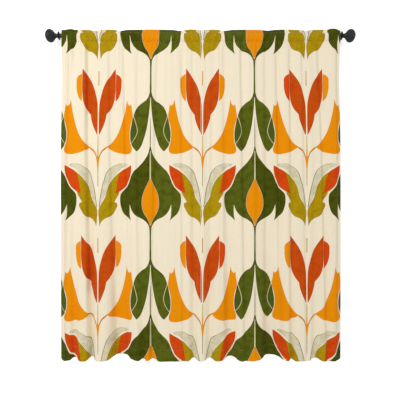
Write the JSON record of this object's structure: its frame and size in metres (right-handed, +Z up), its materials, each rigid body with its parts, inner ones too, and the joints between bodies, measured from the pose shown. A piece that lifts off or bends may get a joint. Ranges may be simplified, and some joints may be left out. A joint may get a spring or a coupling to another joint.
{
  "type": "rod-pocket window curtains on a rod",
  "caption": "Printed full-length curtains gathered by rod pockets on a telescoping black rod with fluted ball finials and wall brackets.",
  "frame": {"origin": "middle of the four wall-screw holes, on the wall plane, level with the rod's axis", "axes": "+X right along the rod, +Y into the wall, +Z up"},
  "size_m": [2.0077, 0.127, 2.144],
  "materials": {
    "rod_black": "satin",
    "finial_black": "satin",
    "bracket_black": "satin",
    "nylon": "matte",
    "steel": "satin",
    "printed_cloth": "matte",
    "thread": "matte"
  },
  "bodies": {
    "rod_and_brackets": {"outer_tube": "rod_black", "glide_sleeve": "nylon", "left_end_plug": "nylon", "left_collar": "rod_black", "left_wall_plate": "bracket_black", "right_wall_plate": "bracket_black", "left_bracket_arm": "bracket_black", "right_bracket_arm": "bracket_black"},
    "rod_extension": {"inner_tube": "rod_black", "right_end_plug": "nylon", "right_collar": "rod_black"},
    "left_finial": {"left_finial": "finial_black", "left_finial_stud": "steel"},
    "left_clamp_screw": {"left_clamp_screw": "bracket_black"},
    "left_curtain": {"left_panel": "printed_cloth", "left_rod_pocket": "printed_cloth", "left_outer_hem": "printed_cloth", "left_bottom_hem": "printed_cloth"},
    "left_leading_edge": {"left_leading_hem": "printed_cloth"},
    "right_finial": {"right_finial": "finial_black", "right_finial_stud": "steel"},
    "right_clamp_screw": {"right_clamp_screw": "bracket_black"},
    "right_curtain": {"right_panel": "printed_cloth", "right_rod_pocket": "printed_cloth", "right_outer_hem": "printed_cloth", "right_bottom_hem": "printed_cloth"},
    "right_leading_edge": {"right_leading_hem": "printed_cloth"}
  },
  "joints": [
    {"name": "rod_extension", "type": "slide", "parent": "rod_and_brackets", "child": "rod_extension", "axis": [1, 0, 0], "range_m": [0, 0.3]},
    {"name": "left_finial_turn", "type": "hinge", "parent": "rod_and_brackets", "child": "left_finial", "pos_m": [-0.93, -0.085, 0], "axis": [-1, 0, 0], "continuous": true},
    {"name": "left_clamp_screw_turn", "type": "hinge", "parent": "rod_and_brackets", "child": "left_clamp_screw", "pos_m": [-0.872, -0.085, -0.02], "axis": [0, 0, 1], "continuous": true},
    {"name": "left_curtain_swing", "type": "hinge", "parent": "rod_and_brackets", "child": "left_curtain", "pos_m": [0, -0.085, 0], "axis": [-1, 0, 0], "range_deg": [-0.9, 35]},
    {"name": "left_curtain_draw", "type": "slide", "parent": "left_curtain", "child": "left_leading_edge", "axis": [-1, 0, 0], "range_m": [0, 0.585], "deforming": ["left_panel", "left_rod_pocket", "left_bottom_hem"]},
    {"name": "right_finial_turn", "type": "hinge", "parent": "rod_extension", "child": "right_finial", "pos_m": [0.93, -0.085, 0], "axis": [1, 0, 0], "continuous": true},
    {"name": "right_clamp_screw_turn", "type": "hinge", "parent": "rod_and_brackets", "child": "right_clamp_screw", "pos_m": [0.872, -0.085, -0.02], "axis": [0, 0, 1], "continuous": true},
    {"name": "right_curtain_swing", "type": "hinge", "parent": "rod_and_brackets", "child": "right_curtain", "pos_m": [0, -0.085, 0], "axis": [-1, 0, 0], "range_deg": [-0.9, 35]},
    {"name": "right_curtain_draw", "type": "slide", "parent": "right_curtain", "child": "right_leading_edge", "axis": [1, 0, 0], "range_m": [0, 0.585], "deforming": ["right_panel", "right_rod_pocket", "right_bottom_hem"]}
  ]
}
